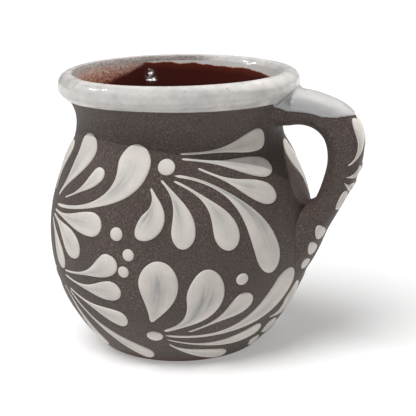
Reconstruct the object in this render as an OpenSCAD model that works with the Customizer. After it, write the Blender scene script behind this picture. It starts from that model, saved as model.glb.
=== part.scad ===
// A jarrito: a round-bellied clay mug with a pulled strap handle, a band of white slip
// on its lip and fans of brushed white slip strokes on its wall.
// The origin is the centre of the foot, +Z is up and the handle points along +X.

/* [Pot] */
// Height from the foot to the top of the slipped lip
pot_h = 100; // [92:1:112]
// Widest outside diameter of the belly
belly_d = 93; // [86:1:104]
// Height of the widest part of the belly
belly_z = 43; // [38:1:47]
// Narrowest outside diameter of the neck
neck_d = 71; // [66:1:76]
// Depth of the narrowest part of the neck below the top of the lip
neck_drop = 18.5; // [16:0.5:21]
// How far the slipped lip stands out past the neck
lip_flare_w = 7; // [5:0.25:9.5]
// Radius of the outer edge of the slipped lip
lip_edge_r = 4.2; // [3.2:0.1:4.7]
// Radius of the inner edge of the lip
lip_inner_r = 2.5; // [1.5:0.1:3]
// Diameter of the flat foot
foot_d = 45; // [38:1:50]
// Radius of the turn from the foot to the wall
foot_edge_r = 10; // [8:0.5:12]
// Thickness of the clay wall
wall_t = 5; // [3.5:0.1:6]
// Thickness of the clay floor
floor_t = 7; // [5:0.1:9]

/* [Handle] */
// Width of the strap
handle_w = 17; // [13:0.5:19]
// Thickness of the strap near its upper root
handle_upper_t = 10.4; // [8:0.1:12]
// Thickness of the strap at its bend
handle_bend_t = 13.1; // [9:0.1:14]
// Thickness of the strap near its lower root
handle_lower_t = 8.3; // [6:0.1:10]
// Depth of the middle of the upper root below the top of the lip
upper_root_drop = 10.8; // [10.4:0.1:12]
// How far the upper run heads away from the neck
upper_pull = 21.7; // [18:0.1:28]
// How far the lower run heads away from the belly
lower_pull = 41.6; // [36:0.1:47]
// Width of both roots where they are luted to the wall
root_w = 19; // [16:0.5:21]
// Height of the upper root on the wall
upper_root_h = 13.4; // [11:0.2:14]
// Height of the lower root on the wall
lower_root_h = 29; // [22:0.5:30]

/* [Slip and glaze] */
// Thickness of the white slip on the lip and on the handle
slip_t = 0.5; // [0.3:0.05:0.8]
// Thickness of the brown glaze inside the pot
glaze_t = 0.5; // [0.3:0.05:0.8]
// Gap between a coat and what it lies on
coat_gap = 0.2; // [0.15:0.01:0.25]
// Depth of the white band below the top of the lip, outside
band_h = 8.4; // [7.5:0.1:11]
// Depth of the white band below the turn of the lip, inside
band_inside_h = 2; // [1:0.1:4]
// Bare margin between the band and the upper root of the handle
band_margin = 0.9; // [0.7:0.1:1.5]

/* [Brush strokes] */
// Thickness of a stroke of white slip
stroke_t = 0.6; // [0.4:0.05:0.9]
// Width that the width shares of the strokes on the wall are taken from
stroke_w = 10; // [7:0.5:11]
// Width that the width shares of the strokes on the handle are taken from
handle_stroke_w = 6; // [4:0.5:6.5]

/* [Hidden] */

clay = "#564d48";
white_slip = "#d8d2ca";
brown_glaze = "#4a1a12";

function deg(radians) = radians * 180 / PI;
function rad(degrees) = degrees * PI / 180;
function unit(v) = v / norm(v);
function polar(radius, angle) = radius * [cos(angle), sin(angle)];

// The outside of the wall is five tangent arcs: foot edge, lower and upper belly, hollow neck and lip
belly_r = belly_d / 2;
neck_r = neck_d / 2;
foot_r = foot_d / 2;
neck_z = pot_h - neck_drop;
lip_d = neck_d + 2 * lip_flare_w;
coat_t = coat_gap + slip_t;
clay_h = pot_h - coat_t;
clay_edge_r = lip_edge_r - coat_t;
lip_c = [lip_d / 2 - lip_edge_r, pot_h - lip_edge_r];
lip_in = neck_r - lip_c.x - clay_edge_r;
lip_rise = lip_c.y - neck_z;
hollow_r = -(lip_in * lip_in + lip_rise * lip_rise) / (2 * lip_in) - clay_edge_r;
neck_in = neck_r - belly_r;
neck_rise = neck_z - belly_z;
upper_r = -(neck_in * neck_in + neck_rise * neck_rise) / (2 * neck_in) - hollow_r;
foot_in = foot_r - belly_r;
foot_rise = belly_z - foot_edge_r;
foot_span_sq = foot_in * foot_in + foot_rise * foot_rise;
lower_r = -(foot_span_sq - foot_edge_r * foot_edge_r) / (2 * (foot_in + foot_edge_r));
edge_c = [foot_r, foot_edge_r];
lower_c = [belly_r - lower_r, belly_z];
upper_c = [belly_r - upper_r, belly_z];
hollow_c = [neck_r + hollow_r, neck_z];
edge_angle = atan2(edge_c.y - lower_c.y, edge_c.x - lower_c.x);
neck_angle = atan2(hollow_c.y - upper_c.y, hollow_c.x - upper_c.x);
lip_angle = atan2(hollow_c.y - lip_c.y, hollow_c.x - lip_c.x);

// Inside, the lip's inner edge runs down a straight slope to the inside of the neck
inner_lip_c = [lip_c.x, clay_h - lip_inner_r];
slope_span = inner_lip_c - hollow_c;
slope_angle = atan2(slope_span.y, slope_span.x)
    + acos((hollow_r + wall_t - lip_inner_r) / norm(slope_span));

// Lengths along the wall, counted from the widest part of the belly
lower_run = lower_r * rad(-edge_angle);
upper_run = upper_r * rad(neck_angle);
neck_run = upper_run + hollow_r * rad(neck_angle);
hollow_run = upper_run + hollow_r * rad(neck_angle - lip_angle);
lip_run = hollow_run + clay_edge_r * rad(90 - lip_angle);
slope_run = lip_run + lip_inner_r * rad(slope_angle - 90);

// The ornament is drawn for a wall whose lengths, up to the neck and down to the foot's edge, are these
// shares of the belly's radius; on a shorter wall it is drawn smaller
drawn_upper_share = 0.872;
drawn_lower_share = 0.964;
upper_scale = min(1, neck_run / belly_r / drawn_upper_share);
lower_scale = min(1, lower_run / belly_r / drawn_lower_share);

// Point on an arc that starts at an angle, at a length along it
function along(c, r, from, run, lift) = c + polar(r + lift, from + deg(run / r));

// Point of the wall's outline at a length along it, lifted off the clay
function wall_at(run, lift = 0) =
    run < -lower_run ? along(edge_c, foot_edge_r, edge_angle, run + lower_run, lift) :
    run < 0 ? along(lower_c, lower_r, 0, run, lift) :
    run < upper_run ? along(upper_c, upper_r, 0, run, lift) :
    run < hollow_run ? along(hollow_c, -hollow_r, neck_angle, run - upper_run, lift) :
    run < lip_run ? along(lip_c, clay_edge_r, lip_angle, run - hollow_run, lift) :
    run < slope_run ? along(inner_lip_c, lip_inner_r, 90, run - lip_run, lift) :
    inner_lip_c + polar(lip_inner_r + lift, slope_angle) + polar(run - slope_run, slope_angle + 90);

// Point on the wall at a turn about the axis
function on_wall(turn, run, lift) =
    let(p = wall_at(run, lift))
    [p.x * cos(turn), p.x * sin(turn), p.y];

// Length along the hollow neck up to a height
function hollow_run_at(z) = upper_run + hollow_r * rad(neck_angle + asin((z - neck_z) / hollow_r));

arc_steps = 10;
function arc(c, r, from, to) =
    [for (i = [0 : arc_steps]) c + polar(r, from + (to - from) * i / arc_steps)];

// Outline of the outside of the clay, from the foot over the lip
function outside() = concat(
    arc(edge_c, foot_edge_r, -90, edge_angle),
    arc(lower_c, lower_r, edge_angle, 0),
    arc(upper_c, upper_r, 0, neck_angle),
    arc(hollow_c, hollow_r, 180 + neck_angle, 180 + lip_angle),
    arc(lip_c, clay_edge_r, lip_angle, 90),
    arc(inner_lip_c, lip_inner_r, 90, slope_angle));

// Outline of the inside from the neck to the middle of the floor, lifted off the clay
function inside(lift) =
    let(wall = concat(
        arc(hollow_c, hollow_r + wall_t + lift, slope_angle, 180 + neck_angle),
        arc(upper_c, upper_r - wall_t - lift, neck_angle, 0),
        arc(lower_c, lower_r - wall_t - lift, 0, edge_angle)))
    concat(
        [for (p = wall) if (p.y > floor_t + lift) p],
        [[floor_corner_r(lift), floor_t + lift], [0, floor_t + lift]]);

// Radius at which the inside of the wall meets the floor
function floor_corner_r(lift) =
    let(r = lower_r - wall_t - lift, drop = belly_z - floor_t - lift)
    lower_c.x + sqrt(r * r - drop * drop);

function reversed(list) = [for (i = [len(list) - 1 : -1 : 0]) list[i]];

// Triangles that close a ring of an even number of points, as a strip between its two halves
function cap(n) = [for (j = [0 : n / 2 - 2]) each [[j, j + 1, n - 2 - j], [j, n - 2 - j, n - 1 - j]]];

// Closed skin over a row of rings that have the same number of points, each facing back along the row
function loft(rings) =
    let(n = len(rings[0]), last = (len(rings) - 1) * n)
    [
        [for (ring = rings) each ring],
        concat(
            [for (i = [0 : len(rings) - 2], j = [0 : n - 1], side = [0, 1])
                let(a = i * n + j, b = i * n + (j + 1) % n)
                side == 0 ? [a, b, b + n] : [a, b + n, a + n]],
            [for (f = cap(n)) [f[0], f[2], f[1]]],
            [for (f = cap(n)) f + [last, last, last]])
    ];

// Draws a list of lofts as one group of separate solids
module draw(lofts) {
    starts = [for (i = 0, n = 0; i < len(lofts); n = n + len(lofts[i][0]), i = i + 1) n];
    polyhedron(
        points = [for (l = lofts) each l[0]],
        faces = [for (i = [0 : len(lofts) - 1], f = lofts[i][1]) [for (v = f) v + starts[i]]]);
}

// The handle follows one curve from the neck to the belly, and its section is a squarish oval
upper_angle = -1.5;
lower_angle = 54;
section_power = 2.6;
upper_flare_share = 0.28;
lower_flare_share = 0.16;
upper_root_run = hollow_run_at(pot_h - upper_root_drop);
upper_end = wall_at(upper_root_run);
lower_end = wall_at(0);
upper_arm = upper_end + polar(upper_pull, upper_angle);
lower_arm = lower_end + polar(lower_pull, lower_angle);

function handle_middle(t) =
    let(m = 1 - t)
    m * m * (m * upper_end + 3 * t * upper_arm) + t * t * (3 * m * lower_arm + t * lower_end);

function handle_heading(t) =
    let(m = 1 - t)
    unit(m * m * (upper_arm - upper_end)
        + 2 * m * t * (lower_arm - upper_arm)
        + t * t * (lower_end - lower_arm));

function squarish(x) = sign(x) * pow(abs(x), 2 / section_power);

// Point on the plain strap: t runs from the upper root to the lower one, turn from the outer face round
function strap_at(t, turn, lift) =
    let(
        c = handle_middle(t),
        heading = handle_heading(t),
        plain_t = handle_upper_t + (handle_lower_t - handle_upper_t) * t,
        bend_t = handle_bend_t - (handle_upper_t + handle_lower_t) / 2,
        half_t = (plain_t + bend_t * pow(sin(180 * t), 2)) / 2 + lift,
        out = half_t * squarish(cos(turn)))
    [c.x - heading.y * out, (handle_w / 2 + lift) * squarish(sin(turn)), c.y + heading.x * out];

// Point on the wall within a root: reach is 1 at its border, up tells which way its outer face lies
function root_at(run, up, height, turn, lift, reach) =
    let(
        place = run + reach * up * (height / 2 + lift) * squarish(cos(turn)),
        across = reach * (root_w / 2 + lift) * squarish(sin(turn)))
    on_wall(deg(across / wall_at(place).x), place, coat_gap);

function upper_root_at(turn, lift, reach = 1) =
    root_at(upper_root_run, 1, upper_root_h, turn, lift, reach);
function lower_root_at(turn, lift, reach = 1) =
    root_at(0, -1, lower_root_h * upper_scale, turn, lift, reach);

// How far a root's flare still shows at t from it, for a flare that is a share of the strap's length
function flare(t, share) = pow(max(0, 1 - t / share), 2);

// Point on the handle with its flared roots
function handle_at(t, turn, lift = 0) =
    strap_at(t, turn, lift)
    + flare(t, upper_flare_share) * (upper_root_at(turn, lift) - strap_at(0, turn, lift))
    + flare(1 - t, lower_flare_share) * (lower_root_at(turn, lift) - strap_at(1, turn, lift));

section_steps = 32;
strap_steps = 24;
section_turns = [for (j = [0 : section_steps - 1]) 360 * j / section_steps];
root_reach_shares = [0.1, 0.4, 0.7];

function total(list, i = 0) = i == len(list) ? 0 : list[i] + total(list, i + 1);
handle_run = total([for (i = [1 : strap_steps])
    norm(handle_middle(i / strap_steps) - handle_middle((i - 1) / strap_steps))]);

// Section of a stroke, across and up, as shares of half its width and of its thickness
stroke_section_shares = [[-1, 0], [0, 0], [1, 0], [0.7, 1], [0, 1], [-0.7, 1]];
stroke_tail_share = 0.12;
stroke_head_share = 0.6;
stroke_head_turns = [22.5, 45, 67.5, 84];
stroke_step_share = 0.45;

// A brushed stroke along a curve on a surface, from its tail to its round head
// place gives the point at a spot on the surface, a step aside from it and a lift
// bend is the spot that the curve heads for from its tail, and comes from at its tip
function stroke(place, tail, bend, tip, width, taper) =
    let(
        way = tip - tail,
        head = 1 - stroke_head_share * width / norm(way),
        steps = max(4, round(norm(way) / (stroke_w * stroke_step_share))),
        stations = concat(
            [for (i = [0 : steps])
                let(swell = pow(sin(90 * i / steps), taper))
                [head * i / steps, stroke_tail_share + (1 - stroke_tail_share) * swell]],
            [for (a = stroke_head_turns) [head + (1 - head) * sin(a), cos(a)]]))
    loft([for (station = stations)
        let(
            t = station[0],
            m = 1 - t,
            spot = m * m * tail + 2 * m * t * bend + t * t * tip,
            heading = unit(m * (bend - tail) + t * (tip - bend)),
            side = [heading.y, -heading.x] * station[1] * width / 2,
            thick = stroke_t * sqrt(station[1]))
        [for (c = stroke_section_shares) place(spot, side * c.x, coat_gap + c.y * thick)]]);

// A round dab of slip: shares of its radius and of its thickness, from under its middle round to its top
dot_rim_shares = [[0.1, 0], [0.55, 0], [1, 0], [0.85, 0.75], [0.45, 1]];
dot_turns = [for (j = [0 : 9]) -36 * j];
function dot(place, spot, width, length) =
    loft([for (c = dot_rim_shares)
        [for (a = dot_turns)
            place(spot, c.x / 2 * [width * cos(a), length * sin(a)], coat_gap + c.y * stroke_t)]]);

// Spot on the wall from a turn and a height share: 1 is the top of the belly and -1 its foot
belly_top_share = 0.782;
function wall_spot(turn, share) =
    [rad(turn) * belly_r, share * (share > 0 ? belly_top_share * neck_run : lower_run)];
// Width that the width shares are taken from, at a height share
function wall_stroke_w(share) = stroke_w * (share > 0 ? upper_scale : lower_scale);
function wall_place(root) = function (spot, step, lift)
    on_wall(root + deg(spot.x / belly_r + step.x / wall_at(spot.y).x), spot.y + step.y, lift);

// Spot on the handle from a turn off the middle of its outer face and a share of its length
handle_girth_r = (handle_w + handle_bend_t) / 4;
function handle_spot(turn, share) = [rad(turn) * handle_girth_r, share * handle_run];
handle_place = function (spot, step, lift)
    handle_at((spot.y + step.y) / handle_run, -deg((spot.x + step.x) / handle_girth_r), lift);

// Strokes of each fan: turn and height share of the tail, of the bend and of the tip, width share, taper
upper_fan_shares = [
    [6.5, 1.14, 30, 1.13, 58.5, 1.24, 0.74, 6],
    [7.5, 1.085, 25, 1.05, 56.5, 0.885, 0.74, 6],
    [15.5, 0.98, 29, 0.83, 53.3, 0.575, 0.78, 6],
    [3.8, 0.905, 38.5, 0.83, 47.5, -0.165, 1.02, 6],
    [3.5, 0.85, 27, 0.61, 26.5, 0.09, 0.9, 4.5],
    [-2.5, 0.86, 11.5, 0.55, 6.3, 0.135, 0.82, 2.6],
    [-7, 0.77, 1, 0.46, -12.5, 0.25, 0.84, 2]
];
side_upper_fan_shares = [
    [8, 0.5, 22.5, 0.85, 24.5, 1.285, 1.05, 2.5],
    [16.5, 0.515, 33.3, 0.66, 40, 0.925, 0.56, 4],
    [8.5, 0.4, 64, 0.48, 55.8, 1.23, 1.2, 4.4],
    [7.5, 0.335, 28, 0.3, 45, 0.325, 0.85, 3],
    [6.5, 0.28, 23.5, 0.205, 31, -0.06, 0.88, 2.9],
    [5, 0.23, 15.5, 0.02, 17.5, -0.2, 0.65, 2.5],
    [0, 0.52, -2.5, 0.8, -0.3, 1.12, 0.7, 3],
    [-13, 0.47, -18.5, 0.72, -18.2, 1.12, 0.75, 3]
];
open_side_fan_shares = [
    [-8, 0.32, -18.5, 0.425, -30, 0.42, 0.8, 3],
    [-9, 0.2, -19, 0.14, -25, -0.06, 0.75, 3]
];
lower_fan_shares = [
    [-0.5, -0.525, 7, -0.25, 2.5, -0.005, 1.38, 1.3],
    [5, -0.615, 28.5, -0.5, 24, -0.07, 1.3, 2.8],
    [17, -0.625, 36.5, -0.51, 45.3, -0.31, 0.76, 5],
    [5.2, -0.665, 55, -0.77, 68.5, -0.18, 1.1, 4.5],
    [5.8, -0.71, 36, -0.88, 60, -0.685, 0.6, 3.5],
    [7, -0.77, 12, -0.88, 44, -0.97, 0.6, 3]
];
side_lower_fan_shares = [
    [8.5, -0.21, 32, -0.19, 41.8, -0.005, 0.78, 5.5],
    [8, -0.25, 27, -0.33, 43.5, -0.255, 0.74, 5],
    [9, -0.36, 29, -0.48, 44, -0.545, 0.66, 4],
    [8, -0.38, 28, -0.74, 52, -0.955, 0.66, 3.2],
    [3.5, -0.36, 12, -0.6, 14.5, -0.94, 0.5, 3],
    [-5, -0.24, -15.5, -0.37, -28, -0.42, 0.7, 3],
    [-5, -0.38, -13.5, -0.555, -18, -0.78, 0.6, 3]
];
short_lower_fan_shares = [
    [0, -0.62, 16, -0.64, 13, -0.345, 0.9, 2.5],
    [2, -0.8, 6, -0.75, 11, -0.7, 0.75, 1.2],
    [-2, -0.945, 0.5, -0.89, 3, -0.85, 0.65, 1.2],
    [13, -0.9, 22, -0.895, 30, -0.84, 0.5, 3]
];

// Dots: turn, height share, width share, length share; the first two sit at the roots of two fans
dot_shares = [
    [-81, 1, 0.58, 0.58],
    [-88.5, -0.675, 0.58, 0.48],
    [-102.3, 0.26, 0.47, 0.47],
    [-96.7, 0.05, 0.42, 0.42],
    [-99.2, -0.1, 0.4, 0.4],
    [-48.3, -0.175, 0.45, 0.42]
];

// Turns of the fans about the axis; the same set stands again on the far side
upper_fan_turn = -81;
side_upper_fan_turn = -155;
lower_fan_turn = -88.5;
side_lower_fan_turn = -145;
short_lower_fan_turn = -24;
far_turn = 180;

// The strokes on the handle are drawn for a length that is this share of the belly's radius,
// and they are drawn narrower on a shorter handle
drawn_handle_share = 1.39;
handle_scale = min(1, handle_run / belly_r / drawn_handle_share);
// Strokes down both sides of the handle's outer face: turns are from its middle, shares are of its length
handle_stroke_shares = [
    [74, 0.664, 7, 0.58, 26, 0.425, 0.8, 2.5],
    [68, 0.722, 35, 0.717, 10, 0.674, 0.5, 2.5],
    [68, 0.75, 39, 0.77, 8, 0.767, 0.42, 2],
    [20, 0.855, 41.5, 0.83, 50, 0.782, 0.8, 1.8]
];
// Dots down both sides of its lower run: turn, share of its length, width share, length share
handle_dot_shares = [[54, 0.925, 0.9, 0.32], [50, 0.96, 0.85, 0.27], [34, 0.986, 0.75, 0.19]];

// White on the handle: half turn that it covers at a share of the handle's length
handle_slip_turns = [
    [0.04, 90], [0.175, 90], [0.275, 86], [0.325, 76], [0.36, 64], [0.39, 40], [0.417, 6]
];
handle_slip_rings = concat([for (i = [1 : 8]) i], [for (i = [1 : 5]) 8 + 2 * i / 5]);
handle_slip_columns = 16;

module fan(rows, turn) {
    color(white_slip)
        draw([for (row = rows)
            stroke(wall_place(turn), wall_spot(row[0], row[1]), wall_spot(row[2], row[3]),
                wall_spot(row[4], row[5]), row[6] * wall_stroke_w(row[1]), row[7])]);
}

module dots(turn) {
    color(white_slip)
        draw([for (row = dot_shares)
            dot(wall_place(turn), wall_spot(row[0], row[1]),
                row[2] * wall_stroke_w(row[1]), row[3] * wall_stroke_w(row[1]))]);
}

// The thrown clay pot
module body() {
    color(clay)
        rotate_extrude($fn = 120)
            polygon(concat([[0, 0]], outside(), inside(0)));
}

// The pulled clay strap, seated on the neck and on the belly
module handle() {
    color(clay)
        draw([loft(concat(
            [for (k = root_reach_shares) [for (a = section_turns) upper_root_at(a, 0, k)]],
            [for (i = [0 : strap_steps]) [for (a = section_turns) handle_at(i / strap_steps, a)]],
            [for (k = reversed(root_reach_shares)) [for (a = section_turns) lower_root_at(a, 0, k)]]))]);
}

// The brown glaze that lines the inside, up to the white band
module inner_glaze() {
    top_run = slope_run + band_inside_h + coat_gap;
    color(brown_glaze)
        rotate_extrude($fn = 120)
            polygon(concat(
                [wall_at(top_run, coat_gap)],
                inside(coat_gap),
                reversed(inside(coat_gap + glaze_t)),
                [wall_at(top_run, coat_gap + glaze_t)]));
}

// The white band over the lip, cut back round the upper root of the handle
module rim_slip() {
    band_run = hollow_run_at(pot_h - band_h);
    runs = concat(
        [for (i = [0 : arc_steps]) band_run + (hollow_run - band_run) * i / arc_steps],
        [for (i = [1 : arc_steps]) hollow_run + (lip_run - hollow_run) * i / arc_steps],
        [for (i = [1 : arc_steps]) lip_run + (slope_run - lip_run) * i / arc_steps],
        [slope_run + band_inside_h]);
    color(white_slip)
        difference() {
            rotate_extrude($fn = 120)
                polygon(concat(
                    [for (run = runs) wall_at(run, coat_t)],
                    [for (run = reversed(runs)) wall_at(run, coat_gap)]));
            root_notch();
        }
}

// Room for the upper root in the white band: the root's outline drawn straight out from the axis
module root_notch() {
    top = wall_at(upper_root_run + upper_root_h / 2).y + band_margin;
    half_h = top - upper_end.y;
    translate([0, 0, upper_end.y])
        rotate([90, 0, 90])
            linear_extrude(lip_d)
                polygon([for (a = section_turns)
                    [(root_w / 2 + band_margin) * squarish(sin(a)), half_h * squarish(cos(a))]]);
}

// The white slip over the top of the handle
module handle_slip() {
    function across(t, lift) =
        let(half = lookup(t, handle_slip_turns))
        [for (j = [0 : handle_slip_columns]) handle_at(t, half * (2 * j / handle_slip_columns - 1), lift)];
    color(white_slip)
        draw([loft([for (i = handle_slip_rings)
            concat(across(i / strap_steps, coat_t), reversed(across(i / strap_steps, coat_gap)))])]);
}

module handle_strokes() {
    color(white_slip)
        draw([for (row = handle_stroke_shares, side = [-1, 1])
            stroke(handle_place, handle_spot(side * row[0], row[1]), handle_spot(side * row[2], row[3]),
                handle_spot(side * row[4], row[5]), row[6] * handle_stroke_w * handle_scale, row[7])]);
}

module handle_dots() {
    color(white_slip)
        draw([for (row = handle_dot_shares, side = [-1, 1])
            dot(handle_place, handle_spot(side * row[0], row[1]),
                row[2] * handle_stroke_w, row[3] * handle_stroke_w)]);
}

body();
handle();
inner_glaze();
rim_slip();
handle_slip();
fan(upper_fan_shares, upper_fan_turn);  // front_upper_fan
fan(lower_fan_shares, lower_fan_turn);  // front_lower_fan
fan(concat(side_upper_fan_shares, open_side_fan_shares), side_upper_fan_turn);  // left_upper_fan
fan(side_lower_fan_shares, side_lower_fan_turn);  // left_lower_fan
fan(short_lower_fan_shares, short_lower_fan_turn);  // right_lower_fan
dots(0);  // front_dots
fan(upper_fan_shares, upper_fan_turn + far_turn);  // back_upper_fan
fan(lower_fan_shares, lower_fan_turn + far_turn);  // back_lower_fan
fan(side_upper_fan_shares, side_upper_fan_turn + far_turn);  // right_upper_fan
fan(side_lower_fan_shares, side_lower_fan_turn + far_turn);  // rear_right_fan
fan(short_lower_fan_shares, short_lower_fan_turn + far_turn);  // rear_left_fan
dots(far_turn);  // back_dots
handle_strokes();
handle_dots();
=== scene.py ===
import math

import bmesh
import bpy
from mathutils import Matrix, Vector


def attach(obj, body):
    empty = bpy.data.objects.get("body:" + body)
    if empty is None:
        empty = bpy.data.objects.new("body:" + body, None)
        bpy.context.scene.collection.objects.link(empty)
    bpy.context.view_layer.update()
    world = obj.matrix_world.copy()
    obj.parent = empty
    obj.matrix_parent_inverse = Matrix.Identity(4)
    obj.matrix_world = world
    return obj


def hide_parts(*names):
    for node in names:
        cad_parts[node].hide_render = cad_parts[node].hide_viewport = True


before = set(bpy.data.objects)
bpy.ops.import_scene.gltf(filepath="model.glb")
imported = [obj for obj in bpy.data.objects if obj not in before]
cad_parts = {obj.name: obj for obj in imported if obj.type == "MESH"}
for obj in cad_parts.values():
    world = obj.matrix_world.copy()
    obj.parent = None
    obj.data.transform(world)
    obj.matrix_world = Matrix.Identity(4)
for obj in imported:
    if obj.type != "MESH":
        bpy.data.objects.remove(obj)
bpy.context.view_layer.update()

# The pot: red clay thrown on a wheel in one piece, with a flat foot, a round belly, a hollow neck and a
# rolled lip. Outside it is washed with a dark engobe that fires matte and a little sandy, and the wash is
# wiped off again at the foot, where the red clay shows.
mm = 0.001
pot_h, belly_d, belly_z = 100 * mm, 93 * mm, 43 * mm
neck_d, neck_drop = 71 * mm, 18.5 * mm
lip_d, lip_edge_r, lip_inner_r = 85 * mm, 4.2 * mm, 2.5 * mm
foot_d, foot_edge_r = 45 * mm, 10 * mm
wall_t, floor_t = 5 * mm, 7 * mm
corner_h, corner_in, corner_rise, floor_flat = 0.5 * mm, 0.3 * mm, 0.1 * mm, 0.8
coat_t = 0.7 * mm
weld = 1e-6

# Its outline is five arcs that run into each other: foot edge, lower belly, upper belly, hollow neck and lip
belly_r, neck_r, foot_r, neck_z = belly_d / 2, neck_d / 2, foot_d / 2, pot_h - neck_drop
lip_clay_r = lip_edge_r - coat_t
lip_c = Vector((lip_d / 2 - lip_edge_r, pot_h - lip_edge_r))
lip_in, lip_rise = neck_r - lip_c.x - lip_clay_r, lip_c.y - neck_z
hollow_r = -(lip_in ** 2 + lip_rise ** 2) / (2 * lip_in) - lip_clay_r
neck_in, neck_rise = neck_r - belly_r, neck_z - belly_z
upper_r = -(neck_in ** 2 + neck_rise ** 2) / (2 * neck_in) - hollow_r
foot_in, foot_rise = foot_r - belly_r, belly_z - foot_edge_r
lower_r = -(foot_in ** 2 + foot_rise ** 2 - foot_edge_r ** 2) / (2 * (foot_in + foot_edge_r))
edge_c = Vector((foot_r, foot_edge_r))
lower_c = Vector((belly_r - lower_r, belly_z))
upper_c = Vector((belly_r - upper_r, belly_z))
hollow_c = Vector((neck_r + hollow_r, neck_z))
inner_lip_c = Vector((lip_c.x, pot_h - coat_t - lip_inner_r))


def heading(v):
    return math.atan2(v.y, v.x)


edge_angle = heading(edge_c - lower_c)
neck_angle = heading(hollow_c - upper_c)
lip_angle = heading(hollow_c - lip_c)
slope = inner_lip_c - hollow_c
slope_angle = heading(slope) + math.acos((hollow_r + wall_t - lip_inner_r) / slope.length)
lower_run = -lower_r * edge_angle
foot_run = lower_run + foot_edge_r * (edge_angle + math.pi / 2)
upper_run = upper_r * neck_angle
hollow_run = upper_run + hollow_r * (neck_angle - lip_angle)
lip_run = hollow_run + lip_clay_r * (math.pi / 2 - lip_angle)
slope_run = lip_run + lip_inner_r * (slope_angle - math.pi / 2)


def polar(centre, radius, angle):
    return centre + radius * Vector((math.cos(angle), math.sin(angle)))


def wall(run, lift=0.0):
    """Point of the pot's outline, as radius and height, at a length along it from the belly, lifted off the clay."""
    if run < -lower_run:
        return polar(edge_c, foot_edge_r + lift, edge_angle + (run + lower_run) / foot_edge_r)
    if run < 0:
        return polar(lower_c, lower_r + lift, run / lower_r)
    if run < upper_run:
        return polar(upper_c, upper_r + lift, run / upper_r)
    if run < hollow_run:
        return polar(hollow_c, hollow_r - lift, math.pi + neck_angle - (run - upper_run) / hollow_r)
    if run < lip_run:
        return polar(lip_c, lip_clay_r + lift, lip_angle + (run - hollow_run) / lip_clay_r)
    if run < slope_run:
        return polar(inner_lip_c, lip_inner_r + lift, math.pi / 2 + (run - lip_run) / lip_inner_r)
    return polar(polar(inner_lip_c, lip_inner_r + lift, slope_angle), run - slope_run, slope_angle + math.pi / 2)


def inside(lift, steps=24):
    """Outline of the inside from under the lip to the middle of the floor, lifted off the clay."""
    def arc(centre, radius, start, end):
        return [polar(centre, radius, start + (end - start) * i / steps) for i in range(steps + 1)]
    points = (arc(hollow_c, hollow_r + wall_t + lift, slope_angle, math.pi + neck_angle)[:-1]
              + arc(upper_c, upper_r - wall_t - lift, neck_angle, 0)[:-1]
              + arc(lower_c, lower_r - wall_t - lift, 0, edge_angle))
    floor = floor_t + lift
    r = lower_r - wall_t - lift
    corner = lower_c.x + math.sqrt(r * r - (belly_z - floor) ** 2)
    return [p for p in points if p.y > floor + corner_h] + [
        Vector((corner - corner_in, floor + corner_rise)), Vector((corner * floor_flat, floor)), Vector((0, floor))]


def ease(x):
    """Runs smoothly from 0 to 1 while x does."""
    x = max(0.0, min(1.0, x))
    return x * x * (3 - 2 * x)


# How far the pot is from truly round and level, and at which turn about its axis
handle_swell, handle_turn = 1.7 * mm, 0.22
shoulder_swell, shoulder_turn, shoulder_z, shoulder_h = 0.9 * mm, 0.25, 77 * mm, 9 * mm
ripple, ripple_h = 0.12 * mm, 22 * mm
mouth_tilt, tilt_turn, mouth_rise, rise_turn = 0.5 * mm, -0.25, 0.7 * mm, 2.4


def handmade(co):
    """The hand in it: the wall swells a little towards the handle and at the shoulder across from it, and the mouth
    isn't quite level."""
    r, turn = math.hypot(co.x, co.y), math.atan2(co.y, co.x)
    mouth = ease((co.z - 62 * mm) / (36 * mm)) * min(1, r / (40 * mm))
    swell = ease((co.z - 4 * mm) / (40 * mm)) * (1 - 0.4 * ease((co.z - 84 * mm) / (12 * mm)))
    swell *= max(0.0, math.cos(turn - handle_turn)) ** 2 * ease((55 * mm - r) / (8 * mm))
    shoulder = math.exp(-((co.z - shoulder_z) / shoulder_h) ** 2) * max(0.0, -math.cos(turn - shoulder_turn)) ** 2
    out = handle_swell * swell + shoulder_swell * shoulder + ripple * math.sin(2 * turn + co.z / ripple_h)
    k = 1 + out / r if r > 5 * mm else 1
    lift = mouth_tilt * math.cos(turn - tilt_turn) + mouth_rise * max(0.0, math.cos(turn - rise_turn))
    return Vector((co.x * k, co.y * k, co.z + lift * mouth))


def face_outwards(made):
    """Turns the faces of each closed shell outwards, also of thin bowed ones."""
    bmesh.ops.recalc_face_normals(made, faces=made.faces)
    made.normal_update()
    rest = set(made.faces)
    while rest:
        shell, front = [], [rest.pop()]
        while front:
            face = front.pop()
            shell.append(face)
            near = {f for e in face.edges for f in e.link_faces} & rest
            rest.difference_update(near)
            front.extend(near)
        here = shell[0].calc_center_median()
        if sum(f.calc_area() * f.normal.dot(f.calc_center_median() - here) for f in shell) < 0:
            bmesh.ops.reverse_faces(made, faces=shell)


def finish_piece(made, name, material, node):
    """Turns a bmesh into a smooth piece that rides on the mug and stands for its CAD node."""
    bmesh.ops.remove_doubles(made, verts=made.verts, dist=weld)
    face_outwards(made)
    for v in made.verts:
        v.co = handmade(v.co)
    for f in made.faces:
        f.smooth = True
    data = bpy.data.meshes.new(name)
    made.to_mesh(data)
    made.free()
    data.materials.append(material)
    piece = bpy.data.objects.new(name, data)
    bpy.context.scene.collection.objects.link(piece)
    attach(piece, "root")
    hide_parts(node)


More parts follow.
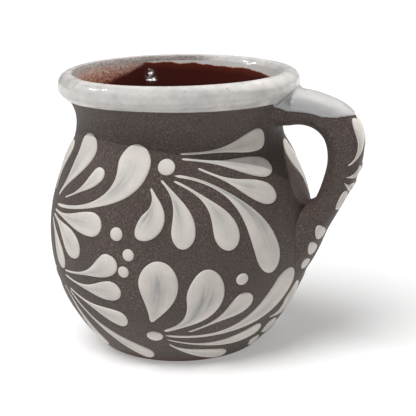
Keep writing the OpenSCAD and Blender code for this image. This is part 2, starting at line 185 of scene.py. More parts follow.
def spun(outline, steps=160):
    """A thrown form: an outline of radius and height, turned once about the axis."""
    made = bmesh.new()
    verts = [made.verts.new((p.x, 0, p.y)) for p in outline]
    edges = [made.edges.new(pair) for pair in zip(verts, verts[1:])]
    bmesh.ops.spin(made, geom=verts + edges, cent=(0, 0, 0), axis=(0, 0, 1), angle=math.tau, steps=steps,
                   use_merge=True, use_duplicate=False)
    return made


def linear(colour):
    """Linear colour from an sRGB hex value."""
    parts = [int(colour[i:i + 2], 16) / 255 for i in (1, 3, 5)]
    return tuple(c / 12.92 if c <= 0.04045 else ((c + 0.055) / 1.055) ** 2.4 for c in parts) + (1.0,)


def add(tree, kind, inputs=None, **settings):
    """Adds a node, sets its properties, and gives its inputs their values or links."""
    made = tree.nodes.new(kind)
    for key, value in settings.items():
        setattr(made, key, value)
    for socket, value in (inputs or {}).items():
        if isinstance(value, bpy.types.NodeSocket):
            tree.links.new(value, made.inputs[socket])
        else:
            made.inputs[socket].default_value = value
    return made


# Dark engobe on red clay: a matte wash of slip with fine sand in it. It gives the eye a warm grey-brown with a
# dense light grain, about half a millimetre across so that it just shows, and no clear highlight.
engobe = bpy.data.materials.new("dark sandy engobe")
engobe.use_nodes = True
tree = engobe.node_tree
shader = tree.nodes["Principled BSDF"]
shader.inputs["IOR"].default_value = 1.42
shader.inputs["Roughness"].default_value = 0.6
place = add(tree, "ShaderNodeTexCoord")
grain = add(tree, "ShaderNodeTexNoise", {"Vector": place.outputs["Object"], "Scale": 1 / (0.5 * mm), "Detail": 2.0,
                                         "Roughness": 0.7})
cloud = add(tree, "ShaderNodeTexNoise", {"Vector": place.outputs["Object"], "Scale": 1 / (18 * mm), "Detail": 3.0})
ground = add(tree, "ShaderNodeValToRGB", {"Fac": grain.outputs["Fac"]})
stops = ground.color_ramp.elements
stops[0].position, stops[1].position = 0.3, 0.72
stops[0].color, stops[1].color = linear("#2e2523"), linear("#82766f")
stops.new(0.5).color = linear("#483d3a")
washed = add(tree, "ShaderNodeMix", {0: cloud.outputs["Fac"], 6: ground.outputs["Color"], 7: linear("#443a36")},
             data_type="RGBA")
height = add(tree, "ShaderNodeSeparateXYZ", {"Vector": place.outputs["Object"]})
ragged = add(tree, "ShaderNodeMath", {0: cloud.outputs["Fac"], 1: 3.5 * mm, 2: height.outputs["Z"]},
             operation="MULTIPLY_ADD")
wiped = add(tree, "ShaderNodeMapRange", {"Value": ragged.outputs["Value"], "From Min": 5.5 * mm, "From Max": 3 * mm})
coloured = add(tree, "ShaderNodeMix", {0: wiped.outputs["Result"], 6: washed.outputs[2], 7: linear("#4a2219")},
               data_type="RGBA")
tree.links.new(coloured.outputs[2], shader.inputs["Base Color"])
bump = add(tree, "ShaderNodeBump", {"Height": grain.outputs["Fac"], "Strength": 0.2, "Distance": 0.2 * mm})
tree.links.new(bump.outputs["Normal"], shader.inputs["Normal"])

outer_steps = 110
outer = [wall(-foot_run + (slope_run + foot_run) * i / outer_steps) for i in range(outer_steps + 1)]
finish_piece(spun([Vector((0, 0))] + outer + inside(0.0)), "pot", engobe, "body")

# The handle: a strap of the same clay, pulled by hand and luted to the neck and to the widest part of the
# belly. Its section is a squarish oval, thickest at the bend, and its two roots are smoothed out on the wall.
handle_w, handle_upper_t, handle_bend_t, handle_lower_t = 17 * mm, 10.4 * mm, 13.1 * mm, 8.3 * mm
handle_squareness = 2.6
top_sag, sag_starts, sag_ends, sag_fades = 0.9 * mm, 0.06, 0.5, 0.3
inner_swell, swell_starts, swell_grows = 0.9 * mm, 0.68, 0.2
upper_root_drop, upper_pull, upper_lean = 10.8 * mm, 21.7 * mm, math.radians(-1.5)
lower_pull, lower_lean = 41.6 * mm, math.radians(54)
upper_root_w, upper_root_h, upper_underside = 24 * mm, 13.4 * mm, 1.25
lower_root_w, lower_root_h, lower_top_edge = 31 * mm, 29 * mm, 0.78
upper_flare, upper_flare_power, lower_flare, lower_flare_power = 0.28, 4, 0.2, 2
upper_root_proud, upper_root_lift = 0.5 * mm, 0.6


def neck_run(z):
    """Length along the outline to a height on the hollow neck."""
    return upper_run + hollow_r * (neck_angle + math.asin((z - neck_z) / hollow_r))


upper_root_run = neck_run(pot_h - upper_root_drop)
upper_end, lower_end = wall(upper_root_run), wall(0)
path = (upper_end, polar(upper_end, upper_pull, upper_lean), polar(lower_end, lower_pull, lower_lean), lower_end)


def squarish(x):
    return math.copysign(abs(x) ** (2 / handle_squareness), x)


def strap(t, turn, lift):
    """Point on the strap without its roots: t runs from neck to belly, turn goes round from the outer face."""
    m = 1 - t
    c = m ** 3 * path[0] + 3 * m * m * t * path[1] + 3 * m * t * t * path[2] + t ** 3 * path[3]
    way = (m * m * (path[1] - path[0]) + 2 * m * t * (path[2] - path[1]) + t * t * (path[3] - path[2])).normalized()
    plain = handle_upper_t + (handle_lower_t - handle_upper_t) * t
    thick = plain + (handle_bend_t - (handle_upper_t + handle_lower_t) / 2) * math.sin(math.pi * t) ** 2
    out = (thick / 2 + lift) * squarish(math.cos(turn))
    if out < 0:
        out += inner_swell * ease((t - swell_starts) / swell_grows) * squarish(math.cos(turn))
    c.y -= top_sag * ease(t / sag_starts) * ease((sag_ends - t) / sag_fades)
    return Vector((c.x - way.y * out, (handle_w / 2 + lift) * squarish(math.sin(turn)), c.y + way.x * out))


def on_wall(turn, run, lift):
    """Point on the pot at a turn about its axis and a length along its outline, lifted off the clay."""
    p = wall(run, lift)
    return Vector((p.x * math.cos(turn), p.x * math.sin(turn), p.y))


def root(lower, turn, lift, reach=1.0, sink=0.0):
    """Point round a root's edge, pressed on the wall; reach widens the edge or draws it in."""
    if lower:
        run, up, wide, tall, gap_side = 0, -1, lower_root_w, lower_root_h, lower_top_edge
    else:
        run, up, wide, tall, gap_side = upper_root_run, 1, upper_root_w, upper_root_h, upper_underside
    if math.cos(turn) < 0:
        tall *= gap_side
    place = run + reach * up * (tall / 2 + lift) * squarish(math.cos(turn))
    across = reach * (wide / 2 + lift) * squarish(math.sin(turn))
    return on_wall(across / wall(place).x, place, -sink)


def on_handle(t, turn, lift=0.0):
    """Point on the handle, where the strap flares into its roots."""
    p = strap(t, turn, lift)
    upper = max(0, 1 - t / upper_flare) ** upper_flare_power
    lower = max(0, 1 - (1 - t) / lower_flare) ** lower_flare_power
    if upper:
        proud = upper_root_proud + upper_root_lift * lift
        p += upper * (root(False, turn, lift, sink=-proud) - strap(0, turn, lift))
    if lower:
        p += lower * (root(True, turn, lift) - strap(1, turn, lift))
    return p


def sheet(made, columns, rows, spot):
    """A grid of faces whose corners go to spot(u, v), with u and v from 0 to 1; returns its corners with u and v."""
    corners = bmesh.ops.create_grid(made, x_segments=columns, y_segments=rows, size=1)["verts"]
    placed = [(v, (v.co.x + 1) / 2, (v.co.y + 1) / 2) for v in corners]
    for v, a, b in placed:
        v.co = spot(a, b)
    return placed


# At either end the sheet runs on past the strap: a thin apron smoothed on the neck, and then both ends close
# out of sight in the wall
hidden, apron = 0.12, 0.06
apron_reach, apron_sink, apron_rise = 1.5, 0.2 * mm, 0.7 * mm
lower_reach, lower_close, hidden_sink = 1.12, 0.107, 0.5 * mm


def strap_spot(u, v):
    turn = math.tau * u
    t = (1 + 2 * hidden) * v - hidden
    if t < -apron:
        return root(False, turn, 0, reach=(t + hidden) / (hidden - apron) * apron_reach, sink=hidden_sink)
    if t < 0:
        return root(False, turn, 0, reach=1 - (apron_reach - 1) * t / apron,
                    sink=apron_sink - apron_rise * (1 + t / apron) ** 2)
    if t > 1:
        return root(True, turn, 0, reach=max(0.0, lower_reach - (t - 1) / lower_close), sink=hidden_sink)
    return on_handle(t, turn)


made = bmesh.new()
sheet(made, 64, 124, strap_spot)
finish_piece(made, "strap_handle", engobe, "handle")

# The glaze inside: a brown glaze poured in, swilled round and poured out again, so it lies thick and dark in the
# belly and ends under the lip in a ragged edge over the white slip, lower on the side of the handle.
glaze_proud, glaze_edge, glaze_backing = 0.03 * mm, 0.12 * mm, 0.1 * mm
glaze_top, glaze_lap = slope_run + 0.2 * mm, 0.9 * mm

# Glossy iron-brown glaze: nearly black where it is thick, red-brown in its last millimetre. Away from the handle
# it was wiped thin, and lies there as a red-brown speckle over the slip.
brown_glaze = bpy.data.materials.new("brown poured glaze")
brown_glaze.use_nodes = True
tree = brown_glaze.node_tree
shader = tree.nodes["Principled BSDF"]
shader.inputs["IOR"].default_value = 1.45
shader.inputs["Roughness"].default_value = 0.08
place = add(tree, "ShaderNodeTexCoord")
height = add(tree, "ShaderNodeSeparateXYZ", {"Vector": place.outputs["Object"]})
drips = add(tree, "ShaderNodeTexNoise", {"Vector": place.outputs["Object"], "Scale": 1 / (11 * mm), "Detail": 5.0,
                                         "Roughness": 0.55})
fine_noise = add(tree, "ShaderNodeTexNoise", {"Vector": place.outputs["Object"], "Scale": 1 / (0.8 * mm), "Detail": 3.0})
# It is wiped thin where it is high and far from the handle, along a torn edge
from_handle = (-0.985, 0.174, 0)
away = add(tree, "ShaderNodeVectorMath", {0: place.outputs["Object"], 1: from_handle}, operation="DOT_PRODUCT")
torn = add(tree, "ShaderNodeMath", {0: drips.outputs["Fac"], 1: 9 * mm, 2: away.outputs["Value"]},
           operation="MULTIPLY_ADD")
sunk = add(tree, "ShaderNodeMath", {0: height.outputs["Z"], 1: 1.4, 2: torn.outputs["Value"]},
           operation="MULTIPLY_ADD")
thinned = add(tree, "ShaderNodeMapRange", {"Value": sunk.outputs["Value"], "From Min": 164.5 * mm,
                                           "From Max": 167.5 * mm}, interpolation_type="SMOOTHSTEP")
# Elsewhere its poured edge hangs lower towards the handle
lower = add(tree, "ShaderNodeMapRange", {"Value": height.outputs["X"], "From Min": -8 * mm, "From Max": 34 * mm,
                                         "To Max": 2.4 * mm})
lowered = add(tree, "ShaderNodeMath", {0: height.outputs["Z"], 1: lower.outputs["Result"]}, operation="ADD")
edge = add(tree, "ShaderNodeMath", {0: drips.outputs["Fac"], 1: 3.5 * mm, 2: lowered.outputs["Value"]},
           operation="MULTIPLY_ADD")
depth = add(tree, "ShaderNodeMapRange", {"Value": edge.outputs["Value"], "From Min": 99.7 * mm, "From Max": 97 * mm})
poured = add(tree, "ShaderNodeValToRGB", {"Fac": depth.outputs["Result"]})
stops = poured.color_ramp.elements
stops[0].color, stops[1].color = linear("#aeaaa6"), linear("#36100a")
for where, colour in ((0.06, "#9a8379"), (0.11, "#7d4c3a"), (0.18, "#4a1c11")):
    stops.new(where).color = linear(colour)
faint = add(tree, "ShaderNodeMapRange", {"Value": edge.outputs["Value"], "From Min": 101 * mm, "From Max": 92 * mm,
                                         "To Min": -0.54, "To Max": 0.38})
speckle = add(tree, "ShaderNodeMath", {0: fine_noise.outputs["Fac"], 1: 1.4, 2: faint.outputs["Result"]},
              operation="MULTIPLY_ADD")
wiped = add(tree, "ShaderNodeValToRGB", {"Fac": speckle.outputs["Value"]})
stops = wiped.color_ramp.elements
stops[0].color, stops[1].color = linear("#9e9690"), linear("#4a1c11")
for where, colour in ((0.25, "#8e7e76"), (0.5, "#866053"), (0.8, "#643b2d")):
    stops.new(where).color = linear(colour)
inner = add(tree, "ShaderNodeMix", {0: thinned.outputs["Result"], 6: poured.outputs["Color"],
                                    7: wiped.outputs["Color"]}, data_type="RGBA")
tree.links.new(inner.outputs[2], shader.inputs["Base Color"])
swirl = add(tree, "ShaderNodeBump", {"Height": drips.outputs["Fac"], "Strength": 0.3, "Distance": 1.5 * mm})
tree.links.new(swirl.outputs["Normal"], shader.inputs["Normal"])

lining = [wall(glaze_top - glaze_lap, coat_t - glaze_edge), wall(glaze_top, coat_t + glaze_proud)]
lining += inside(coat_t + glaze_proud)
backing = [wall(glaze_top - glaze_lap, -glaze_backing)] + inside(-glaze_backing)
finish_piece(spun(lining + list(reversed(backing)) + lining[:1]), "poured_glaze", brown_glaze,
             "inner_glaze")

# The white on the lip: slip that the rim was dipped in, under a clear glaze. It rolls over the lip, outside
# and inside, reaches lower on the side of the handle, and has a faint crease round it where the lip is widest.
rim_h, rim_dip, rim_inner = 8.4 * mm, 1.2 * mm, 0.6 * mm
crease_depth, crease_w = 0.2 * mm, 0.9 * mm
rim_sunk, rim_backing = 0.1 * mm, 0.4 * mm
rim_face, rim_edge, rim_last = 0.75, 0.08, 0.995

# White slip under clear glaze: milky, with small specks and patches where the slip is thin and blue-grey. The
# glaze gives small sharp glints that its unevenness breaks up.
white_slip = bpy.data.materials.new("white slip under clear glaze")
white_slip.use_nodes = True
tree = white_slip.node_tree
shader = tree.nodes["Principled BSDF"]
shader.inputs["IOR"].default_value = 1.5
shader.inputs["Roughness"].default_value = 0.45
shader.inputs["Coat Weight"].default_value = 0.7
shader.inputs["Coat Roughness"].default_value = 0.08
place = add(tree, "ShaderNodeTexCoord")
milk = add(tree, "ShaderNodeTexNoise", {"Vector": place.outputs["Object"], "Scale": 1 / (9 * mm), "Detail": 4.0})
base = add(tree, "ShaderNodeValToRGB", {"Fac": milk.outputs["Fac"]})
stops = base.color_ramp.elements
stops[0].position, stops[1].position = 0.3, 0.75
stops[0].color, stops[1].color = linear("#b8b5b2"), linear("#ccc7c1")
speck = add(tree, "ShaderNodeTexVoronoi", {"Vector": place.outputs["Object"], "Scale": 1 / (3.2 * mm)})
dirt = add(tree, "ShaderNodeMapRange", {"Value": speck.outputs["Distance"], "From Min": 0.1, "From Max": 0.05})
specked = add(tree, "ShaderNodeMix", {0: dirt.outputs["Result"], 6: base.outputs["Color"], 7: linear("#8f857c")},
              data_type="RGBA")
bare = add(tree, "ShaderNodeTexNoise", {"Vector": place.outputs["Object"], "Scale": 1 / (7 * mm), "Detail": 6.0,
                                        "Roughness": 0.7})
patch = add(tree, "ShaderNodeMapRange", {"Value": bare.outputs["Fac"], "From Min": 0.45, "From Max": 0.75,
                                         "To Max": 0.5})
thin = add(tree, "ShaderNodeAttribute", attribute_name="thin")
drained = add(tree, "ShaderNodeMath", {0: patch.outputs["Result"], 1: thin.outputs["Fac"]}, operation="MAXIMUM")
thinner = add(tree, "ShaderNodeMix", {0: drained.outputs["Value"], 6: specked.outputs[2], 7: linear("#84878b")},
              data_type="RGBA")
# Painted shade: inside the lip, away from the handle, a mottled grey is painted over the slip for the shade that
# falls there under the lip
level = add(tree, "ShaderNodeVectorMath", {0: place.outputs["Object"], 1: (1, 1, 0)}, operation="MULTIPLY")
reach = add(tree, "ShaderNodeVectorMath", {0: level.outputs["Vector"]}, operation="LENGTH")
inward = add(tree, "ShaderNodeMapRange", {"Value": reach.outputs["Value"], "From Min": 38 * mm,
                                          "From Max": 36.7 * mm}, interpolation_type="SMOOTHSTEP")
away = add(tree, "ShaderNodeVectorMath", {0: place.outputs["Object"], 1: from_handle}, operation="DOT_PRODUCT")
aside = add(tree, "ShaderNodeMapRange", {"Value": away.outputs["Value"], "From Min": -3 * mm, "From Max": 11 * mm},
            interpolation_type="SMOOTHSTEP")
painted_shade_mask = add(tree, "ShaderNodeMath", {0: inward.outputs["Result"], 1: aside.outputs["Result"]},
              operation="MULTIPLY")
fine_noise = add(tree, "ShaderNodeTexNoise", {"Vector": place.outputs["Object"], "Scale": 1 / (0.8 * mm), "Detail": 3.0})
painted_shade_colour = add(tree, "ShaderNodeValToRGB", {"Fac": fine_noise.outputs["Fac"]})
stops = painted_shade_colour.color_ramp.elements
stops[0].position, stops[1].position = 0.35, 0.6
stops[0].color, stops[1].color = linear("#6b5f59"), linear("#928a86")
# The painted grey shade inside the lip goes over the slip's own colour
slip_and_painted_shade = add(tree, "ShaderNodeMix", {0: painted_shade_mask.outputs["Value"], 6: thinner.outputs[2], 7: painted_shade_colour.outputs["Color"]},
              data_type="RGBA")
tree.links.new(slip_and_painted_shade.outputs[2], shader.inputs["Base Color"])
dip = add(tree, "ShaderNodeTexNoise", {"Vector": place.outputs["Object"], "Scale": 1 / (5 * mm), "Detail": 3.0})
uneven = add(tree, "ShaderNodeBump", {"Height": dip.outputs["Fac"], "Strength": 0.6, "Distance": 1 * mm})
tree.links.new(uneven.outputs["Normal"], shader.inputs["Normal"])
tree.links.new(uneven.outputs["Normal"], shader.inputs["Coat Normal"])

band_low, band_high = neck_run(pot_h - rim_h), slope_run + rim_inner
crease = hollow_run - lip_clay_r * lip_angle


def rim_spot(u, v):
    turn = math.tau * u
    low = band_low - rim_dip * max(0.0, math.cos(turn))
    if v > rim_face:
        run = band_high + (low - band_high) * (v - rim_face) / (1 - rim_face)
        return on_wall(turn, run, -rim_backing if v < rim_last else -rim_sunk)
    k = v / rim_face
    run = low + (band_high - low) * k
    lift = coat_t - crease_depth * math.exp(-((run - crease) / crease_w) ** 2)
    return on_wall(turn, run, -rim_sunk + (lift + rim_sunk) * math.sin(min(1, k / rim_edge) * math.pi / 2))


made = bmesh.new()
sheet(made, 160, 80, rim_spot)
finish_piece(made, "dipped_rim", white_slip, "rim_slip")

# The white on the handle: the same slip under the same glaze, brushed over the top of the strap from the lip to
# the bend, where it ends in a point. It is thinner than on the lip, most of all down its sides.
slip_start, slip_length = -0.1, 0.515
slip_sunk, slip_backing, slip_crown = 0.25 * mm, 0.4 * mm, 0.4
lap_reach, lap_t, lap_rise = 4, 0.2 * mm, 0.72 * mm
top_thin, side_thin, side_starts, side_grows = 0.28, 0.36, 35, 40
# How far round the strap the slip goes, in degrees from the outer face, at shares of the strap's length
slip_turns = ((-0.1, 70), (0, 88), (0.05, 91), (0.1, 91), (0.175, 90), (0.275, 86), (0.325, 76), (0.36, 64),
              (0.39, 40), (0.417, 6))


def slip_reach(v):
    """Share of the strap's length and the slip's reach round it, for a row of the sheet."""
    t = slip_start + slip_length * v
    for (a, x), (b, y) in zip(slip_turns, slip_turns[1:]):
        if t <= b:
            return t, x + (y - x) * max(0.0, t - a) / (b - a)
    return t, slip_turns[-1][1]


def handle_slip_spot(u, v):
    t, reach = slip_reach(v)
    turn = math.radians(reach) * math.cos(math.tau * u)
    top = max(0.0, math.sin(math.tau * u))
    if t < 0:
        proud = lap_t + lap_rise * (1 - t / slip_start)
        return root(False, turn, 0, reach=1 - lap_reach * t, sink=-proud if top else slip_backing)
    return on_handle(t, turn, (coat_t + slip_sunk) * top ** slip_crown - slip_sunk if top else -slip_backing)


made = bmesh.new()
thinness = made.verts.layers.float.new("thin")
for v, a, b in sheet(made, 48, 60, handle_slip_spot):
    side = slip_reach(b)[1] * abs(math.cos(math.tau * a))
    v[thinness] = top_thin + side_thin * ease((side - side_starts) / side_grows)
bmesh.ops.remove_doubles(made, verts=made.verts, dist=weld)
bmesh.ops.holes_fill(made, edges=made.edges)
finish_piece(made, "handle_white", white_slip, "handle_slip")

# The brushed fans: each mark is one touch of a brush loaded with white slip, put down round at its head and drawn
# out to a fine tail. The slip stands a little proud of the wall.
stroke_w, stroke_t, stroke_sunk = 10 * mm, 0.55 * mm, 0.15 * mm
head_share, head_row, stroke_crown = 0.6, 0.72, 0.4
fine_tail, tail_opens = 0.1, 38
drag_w, drag_starts, drag_ends, drag_last = 0.42, 2.5, 4, 0.93

# Brushed white slip, unglazed: a warm satin white, and where the brush's hairs dragged it thin, the dark ground
# shows through as blue-grey streaks along the stroke. They are drawn a few to a stroke, so that they show. The
# brush attribute holds the place across and along a stroke, and a number of its own for each stroke.
brushed_slip = bpy.data.materials.new("brushed white slip")
brushed_slip.use_nodes = True
tree = brushed_slip.node_tree
shader = tree.nodes["Principled BSDF"]
shader.inputs["IOR"].default_value = 1.48
shader.inputs["Roughness"].default_value = 0.42
place = add(tree, "ShaderNodeTexCoord")
brush = add(tree, "ShaderNodeAttribute", attribute_name="brush")
thin = add(tree, "ShaderNodeAttribute", attribute_name="thin")
drawn = add(tree, "ShaderNodeMapping", {"Vector": brush.outputs["Vector"], "Scale": (3.5, 1.3, 17.0)})
hairs = add(tree, "ShaderNodeTexNoise", {"Vector": drawn.outputs["Vector"], "Scale": 1.6, "Detail": 4.0,
                                         "Roughness": 0.6})
milk = add(tree, "ShaderNodeTexNoise", {"Vector": place.outputs["Object"], "Scale": 1 / (6 * mm), "Detail": 3.0})
base = add(tree, "ShaderNodeValToRGB", {"Fac": milk.outputs["Fac"]})
stops = base.color_ramp.elements
stops[0].position, stops[1].position = 0.3, 0.7
stops[0].color, stops[1].color = linear("#bdb7b0"), linear("#cbc5bd")
haze = add(tree, "ShaderNodeMapRange", {"Value": hairs.outputs["Fac"], "From Min": 0.27, "From Max": 0.62})
worn = add(tree, "ShaderNodeMath", {0: haze.outputs["Result"], 1: thin.outputs["Fac"]}, operation="MULTIPLY")
dragged = add(tree, "ShaderNodeMix", {0: worn.outputs["Value"], 6: base.outputs["Color"], 7: linear("#6a6f75")},
              data_type="RGBA")
tree.links.new(dragged.outputs[2], shader.inputs["Base Color"])
sand = add(tree, "ShaderNodeTexNoise", {"Vector": place.outputs["Object"], "Scale": 1 / (0.6 * mm), "Detail": 2.0})
grainy = add(tree, "ShaderNodeBump", {"Height": sand.outputs["Fac"], "Strength": 0.3, "Distance": 0.2 * mm})
tree.links.new(grainy.outputs["Normal"], shader.inputs["Normal"])


def stroke(made, place, tail, bend, tip, width, taper, thin=0.3, side=0.0):
    """One drawn mark on a surface, where place(spot, step aside, lift) gives the points. A greater taper makes a
    longer fine tail; thin is how far the brush dragged, along a line to one side of the middle."""
    head = 1 - head_share * width / (tip - tail).length

    def station(v):
        if v < head_row:
            k = v / head_row
            full = math.sin(k * math.pi / 2) ** taper
            return head * k, min(1, v * tail_opens) * (fine_tail + (1 - fine_tail) * full)
        a = (v - head_row) / (1 - head_row) * math.pi / 2
        return head + (1 - head) * math.sin(a), math.cos(a)

    def at(u, v):
        t, w = station(v)
        m = 1 - t
        spot = m * m * tail + 2 * m * t * bend + t * t * tip
        along = (m * (bend - tail) + t * (tip - bend)).normalized()
        a = math.tau * u
        up = math.sin(a)
        lift = -stroke_sunk
        if up > 0:
            lift += (stroke_t * math.sqrt(w) + stroke_sunk) * up ** stroke_crown
        return place(spot, Vector((along.y, -along.x)) * (w * width / 2 * math.cos(a)), lift)

    placed = sheet(made, 20, 44, at)
    trail = made.verts.layers.float_vector["brush"]
    worn = made.verts.layers.float["thin"]
    seed = (tail.x + 2 * tip.x + 3 * tip.y) / mm
    for v, a, b in placed:
        across, (t, w) = math.cos(math.tau * a), station(b)
        v[trail] = (across * w, t, seed)
        drag = max(0.0, min(1, t * drag_starts, (drag_last - t) * drag_ends))
        v[worn] = thin * drag * math.exp(-((across - side) / drag_w) ** 2)


def wall_place(turn):
    def at(spot, step, lift):
        return on_wall(math.radians(turn) + spot.x / belly_r + step.x / wall(spot.y).x, spot.y + step.y, lift)
    return at


def wall_spot(turn, share):
    return Vector((math.radians(turn) * belly_r, share * (upper_run if share > 0 else lower_run)))


def marked():
    made = bmesh.new()
    made.verts.layers.float_vector.new("brush")
    made.verts.layers.float.new("thin")
    return made


# Each row is a stroke: turn in degrees and share of the wall's length above or below the belly for its tail, bend
# and tip, then its width as a share of stroke_w and its taper, and for some how thin it is and on which side
usual_drag = (0.4, 0.0)
upper_fan = (
    (6.5, 1.14, 30, 1.13, 58.5, 1.24, 0.74, 6),
    (7.5, 1.085, 25, 1.05, 56.5, 0.885, 0.74, 6),
    (15.5, 0.98, 29, 0.83, 53.3, 0.575, 0.78, 6),
    (3.8, 0.905, 38.5, 0.83, 47.5, -0.165, 1.02, 6, 0.9, -0.3),
    (3.5, 0.85, 27, 0.61, 26.5, 0.09, 0.9, 4.5),
    (-2.5, 0.86, 11.5, 0.55, 6.3, 0.135, 0.82, 2.6, 0.5, 0.4),
    (-7, 0.77, 1, 0.46, -12.5, 0.25, 0.84, 2, 0.7, 0.5))
side_upper_fan = (
    (8, 0.5, 22.5, 0.85, 24.5, 1.285, 1.05, 2.5),
    (16.5, 0.515, 33.3, 0.66, 40, 0.925, 0.56, 4),
    (8.5, 0.4, 64, 0.48, 55.8, 1.23, 1.2, 4.4, 0.6, -0.2),
    (7.5, 0.335, 28, 0.3, 45, 0.325, 0.85, 3),
    (6.5, 0.28, 23.5, 0.205, 31, -0.06, 0.88, 2.9),
    (5, 0.23, 15.5, 0.02, 17.5, -0.2, 0.65, 2.5),
    (0, 0.52, -2.5, 0.8, -0.3, 1.12, 0.7, 3))
handle_side_fan = ((-19, 0.42, -21, 0.8, -26, 1.1, 1.1, 2.5),)
open_side_fan = (
    (-13, 0.47, -18.5, 0.72, -18.2, 1.12, 0.75, 3),
    (-8, 0.32, -18.5, 0.425, -30, 0.42, 0.8, 3),
    (-9, 0.2, -19, 0.14, -25, -0.06, 0.75, 3))
lower_fan = (
    (-0.5, -0.525, 7, -0.25, 2.5, -0.005, 1.38, 1.3, 0.65, 0),
    (5, -0.615, 28.5, -0.5, 24, -0.07, 1.3, 2.8, 0.9, 0),
    (17, -0.625, 36.5, -0.51, 45.3, -0.31, 0.76, 5),
    (5.2, -0.665, 55, -0.77, 68.5, -0.18, 1.1, 4.5, 0.6, 0),
    (5.8, -0.71, 36, -0.88, 60, -0.685, 0.6, 3.5),
    (7, -0.77, 12, -0.88, 44, -0.97, 0.6, 3))
side_lower_fan = (
    (8.5, -0.21, 32, -0.19, 41.8, -0.005, 0.78, 5.5),
    (8, -0.25, 27, -0.33, 43.5, -0.255, 0.74, 5),
    (9, -0.36, 29, -0.48, 44, -0.545, 0.66, 4),
    (8, -0.38, 28, -0.74, 52, -0.955, 0.66, 3.2, 0.6, 0.2),
    (3.5, -0.36, 12, -0.6, 14.5, -0.94, 0.5, 3),
    (-5, -0.24, -15.5, -0.37, -28, -0.42, 0.7, 3),
    (-5, -0.38, -13.5, -0.555, -18, -0.78, 0.6, 3))
short_lower_fan = (
    (0, -0.62, 16, -0.64, 13, -0.345, 0.9, 2.5),
    (2, -0.8, 6, -0.75, 11, -0.7, 0.75, 1.2),
    (-2, -0.945, 0.5, -0.89, 3, -0.85, 0.65, 1.2),
    (13, -0.9, 22, -0.895, 30, -0.84, 0.5, 3))
# The far half of the mug repeats the near half, half a turn on
for node, rows, turn in (
        ("front_upper_fan", upper_fan, -81), ("back_upper_fan", upper_fan, 99),
        ("left_upper_fan", side_upper_fan + open_side_fan, -155),
        ("right_upper_fan", side_upper_fan + handle_side_fan, 25),
        ("front_lower_fan", lower_fan, -88.5), ("back_lower_fan", lower_fan, 91.5),
        ("left_lower_fan", side_lower_fan, -145), ("rear_right_fan", side_lower_fan, 35),
        ("right_lower_fan", short_lower_fan, -24), ("rear_left_fan", short_lower_fan, 156)):
    made = marked()
    for row in rows:
        *spots, width, taper, thin, side = row if len(row) == 10 else row + usual_drag
        stroke(made, wall_place(turn), *(wall_spot(*spots[i:i + 2]) for i in (0, 2, 4)), width * stroke_w, taper,
               thin, side)
    finish_piece(made, "brushed_" + node, brushed_slip, node)

# The dots between the fans: single touches of the brush's tip with the same white slip, round or a little
# flattened, and as proud of the wall as the strokes.
dab_crown = 0.6


def dab(made, place, spot, width, length):
    """A round touch of the brush on a surface, where place(spot, step aside, lift) gives the points."""
    def at(u, v):
        a = -math.tau * u
        lift = -stroke_sunk
        if v >= 0.5:
            lift += (stroke_t + stroke_sunk) * math.sin((v - 0.5) * math.pi) ** dab_crown
        return place(spot, Vector((width * math.cos(a), length * math.sin(a))) * math.sin(v * math.pi) / 2, lift)
    sheet(made, 28, 16, at)


# Turn, share of the wall's length, and width and height as shares of stroke_w
dots = ((-81, 1, 0.58, 0.58), (-88.5, -0.675, 0.58, 0.48), (-102.3, 0.26, 0.47, 0.47), (-96.7, 0.05, 0.42, 0.42),
        (-99.2, -0.1, 0.4, 0.4), (-48.3, -0.175, 0.45, 0.42))
for node, turn in (("front_dots", 0), ("back_dots", 180)):
    made = marked()
    for dot_turn, share, width, length in dots:
        dab(made, wall_place(turn), wall_spot(dot_turn, share), width * stroke_w, length * stroke_w)
    finish_piece(made, "dabbed_" + node, brushed_slip, node)

# The strokes on the handle: four drawn touches of the same slip below the white top, down each side of the outer
# face, made like those on the wall but narrower.
handle_stroke_w = 6 * mm
girth_r = (handle_w + handle_bend_t) / 4
run_steps = 24
middles = [(strap(i / run_steps, 0, 0) + strap(i / run_steps, math.pi, 0)) / 2 for i in range(run_steps + 1)]
handle_run = sum((b - a).length for a, b in zip(middles, middles[1:]))


def handle_spot(turn, share):
    return Vector((math.radians(turn) * girth_r, share * handle_run))


def handle_place(spot, step, lift):
    return on_handle(min(1.0, (spot.y + step.y) / handle_run), -(spot.x + step.x) / girth_r, lift)


# Turn from the middle of the outer face and share of the strap's length for tail, bend and tip, width and taper
handle_strokes = (
    (74, 0.664, 3, 0.58, 22, 0.425, 1.05, 2.5),
    (68, 0.722, 35, 0.717, 10, 0.674, 0.5, 2.5),
    (68, 0.75, 39, 0.77, 8, 0.767, 0.42, 2),
    (20, 0.855, 41.5, 0.83, 50, 0.782, 0.8, 1.8))
made = marked()
for *spots, width, taper in handle_strokes:
    for hand in (-1, 1):
        stroke(made, handle_place, *(handle_spot(hand * spots[i], spots[i + 1]) for i in (0, 2, 4)),
               width * handle_stroke_w, taper)
finish_piece(made, "brushed_handle_strokes", brushed_slip, "handle_strokes")


# The dots on the handle: three touches of the brush's tip below the strokes, down each side of the lower root,
# each a little smaller than the one above it.
def handle_dab(made, spot, width, length):
    """A dab in true size: its steps are fitted to how the flaring root stretches the handle's face there."""
    def at(x, y):
        return handle_place(spot, Vector((x, y)), 0)
    step = 0.05 * mm
    jx, jy = (at(step, 0) - at(0, 0)) / step, (at(0, step) - at(0, 0)) / step
    across = jx.normalized()
    along = (jy - jy.dot(across) * across).normalized()
    fit = Matrix(((across.dot(jx), across.dot(jy)), (0, along.dot(jy)))).inverted()
    dab(made, lambda centre, aside, lift: handle_place(centre, fit @ aside, lift), spot, width, length)


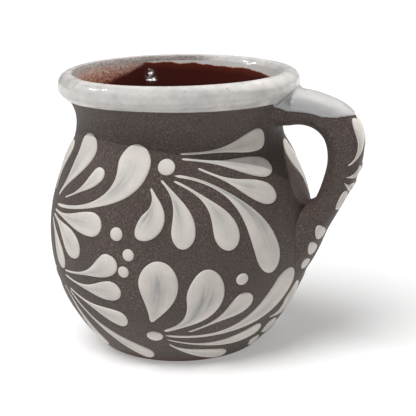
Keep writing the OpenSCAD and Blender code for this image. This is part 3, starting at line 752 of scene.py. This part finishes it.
# Turn, share of the strap's length, width and height
handle_dots = ((48, 0.92, 7.4 * mm, 5 * mm), (44, 0.954, 7 * mm, 4.6 * mm), (33, 0.98, 6 * mm, 4.2 * mm))
made = marked()
for turn, share, width, length in handle_dots:
    for hand in (-1, 1):
        handle_dab(made, handle_spot(hand * turn, share), width, length)
finish_piece(made, "dabbed_handle_dots", brushed_slip, "handle_dots")

# The studio: a plain white table that glows a little, so that it fades into the background, in a pale room.
# A small lamp high on the left and one behind on the right draw the crisp shadows on the mug, two wide ones
# soften them, a lamp of its own gives the table its soft shadow, and two give the glints on the glaze.

# Matte white paint: it shows no highlight, only soft shadows.
floor_paint = bpy.data.materials.new("matte white table")
floor_paint.use_nodes = True
shader = floor_paint.node_tree.nodes["Principled BSDF"]
shader.inputs["Base Color"].default_value = linear("#ececec")
shader.inputs["Roughness"].default_value = 0.9
shader.inputs["Emission Color"].default_value = linear("#ffffff")
shader.inputs["Emission Strength"].default_value = 0.33
made = bmesh.new()
bmesh.ops.create_circle(made, cap_ends=True, segments=64, radius=4)
data = bpy.data.meshes.new("floor")
made.to_mesh(data)
made.free()
data.materials.append(floor_paint)
floor = bpy.data.objects.new("floor", data)
bpy.context.scene.collection.objects.link(floor)

world = bpy.data.worlds.new("white room")
bpy.context.scene.world = world
world.use_nodes = True
room = world.node_tree.nodes["Background"]
room.inputs["Color"].default_value = (1, 0.97, 0.95, 1)
room.inputs["Strength"].default_value = 0.1
bpy.context.scene.view_settings.view_transform = "Standard"


def lamp(name, turn, rise, strength, spread, colour=(1, 1, 1), glints=False, fills=True, table="EXCLUDE"):
    """A far lamp at a turn about the mug and a rise above the table; spread is how wide it looks, in degrees. It
    gives glints or fills the surfaces with light, and lights all but the table or the table alone."""
    light = bpy.data.lights.new(name, "SUN")
    light.energy, light.angle, light.color = strength, math.radians(spread), colour
    holder = bpy.data.objects.new(name, light)
    holder.visible_glossy, holder.visible_diffuse = glints, fills
    lit = bpy.data.collections.new(name + " and table")
    lit.objects.link(floor)
    lit.collection_objects[0].light_linking.link_state = table
    holder.light_linking.receiver_collection = lit
    turn, rise = math.radians(turn), math.radians(rise)
    way = Vector((math.cos(rise) * math.cos(turn), math.cos(rise) * math.sin(turn), math.sin(rise)))
    holder.rotation_euler = way.to_track_quat("Z", "Y").to_euler()
    bpy.context.scene.collection.objects.link(holder)


lamp("key", -119, 66, 3.2, 1, (0.96, 0.98, 1))
lamp("left", -165, 35, 0.65, 60)
lamp("right", 58, 36, 4.8, 2)
lamp("front", -35, 30, 0.35, 50)
lamp("table", -118, 60, 3.15, 45, table="INCLUDE")
lamp("glint left", -180, 42, 0.9, 7, glints=True, fills=False)
lamp("glint right", -36, 42, 0.3, 3.5, glints=True, fills=False)

# The camera: half a metre from the mug, a little to the right of its front and above its rim, rolled by half a
# degree, as the outline of the pot and the ellipse of its mouth give it.
view_turn, view_rise, view_roll = math.radians(14), math.radians(14.05), math.radians(0.58)
view_distance, aim_aside, aim_z = 0.5, 10.28 * mm, 49.63 * mm
lens = bpy.data.cameras.new("photo")
lens.sensor_width, lens.lens = 36, 119.66
camera = bpy.data.objects.new("photo", lens)
right = Vector((math.cos(view_turn), math.sin(view_turn), 0))
back = Vector((math.sin(view_turn) * math.cos(view_rise), -math.cos(view_turn) * math.cos(view_rise),
               math.sin(view_rise)))
up = back.cross(right)
tilted_right = math.cos(view_roll) * right - math.sin(view_roll) * up
tilted_up = math.cos(view_roll) * up + math.sin(view_roll) * right
turned = Matrix((tilted_right, tilted_up, back)).transposed().to_4x4()
turned.translation = aim_aside * right + Vector((0, 0, aim_z)) + view_distance * back
camera.matrix_world = turned
bpy.context.scene.collection.objects.link(camera)
bpy.context.scene.camera = camera
